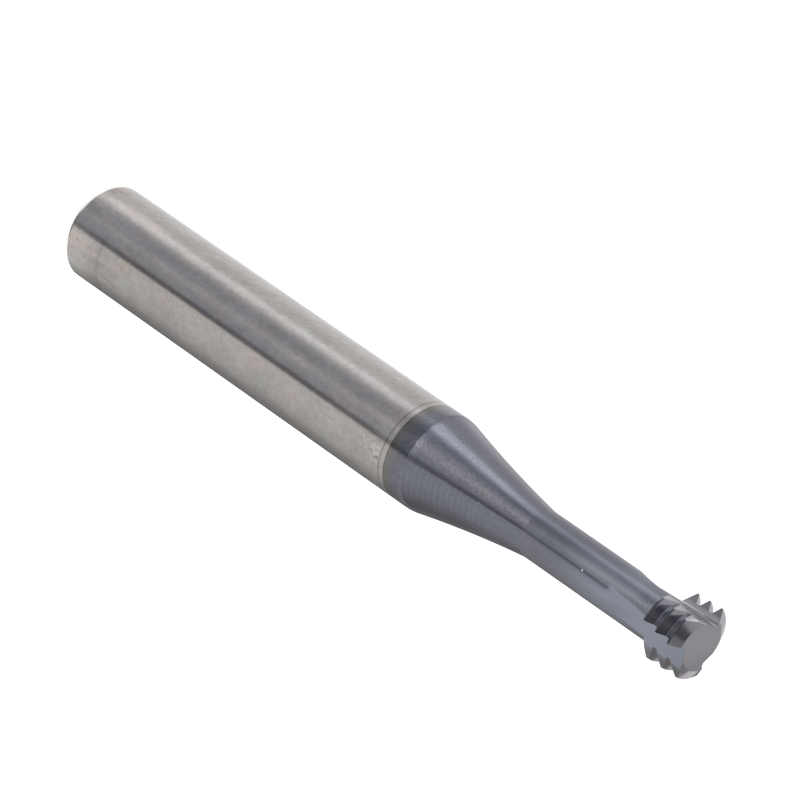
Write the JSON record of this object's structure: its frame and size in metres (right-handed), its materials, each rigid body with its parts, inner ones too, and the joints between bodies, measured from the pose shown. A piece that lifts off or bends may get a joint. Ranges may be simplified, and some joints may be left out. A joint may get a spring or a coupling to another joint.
{
  "type": "thread mill",
  "caption": "Solid carbide thread mill: a plain chamfered shank, a tapered shoulder and a slim neck, with a short head of ringed, relieved teeth and right-hand flutes.",
  "frame": {"origin": "centre of the shank's end face, on the tool's axis, where the tool stands", "axes": "+Z along the tool's axis from the shank's end to the cutting end; one cutting edge meets the end face at 54.8 degrees from +X towards +Y, and the other two follow at equal angles"},
  "size_m": [0.006, 0.006, 0.051],
  "materials": {
    "carbide": "ground cemented carbide, bare on the shank and with a thin grey hard coating from the front of the shank to the tip"
  },
  "bodies": {
    "root": {"thread_mill": "carbide"}
  },
  "joints": []
}
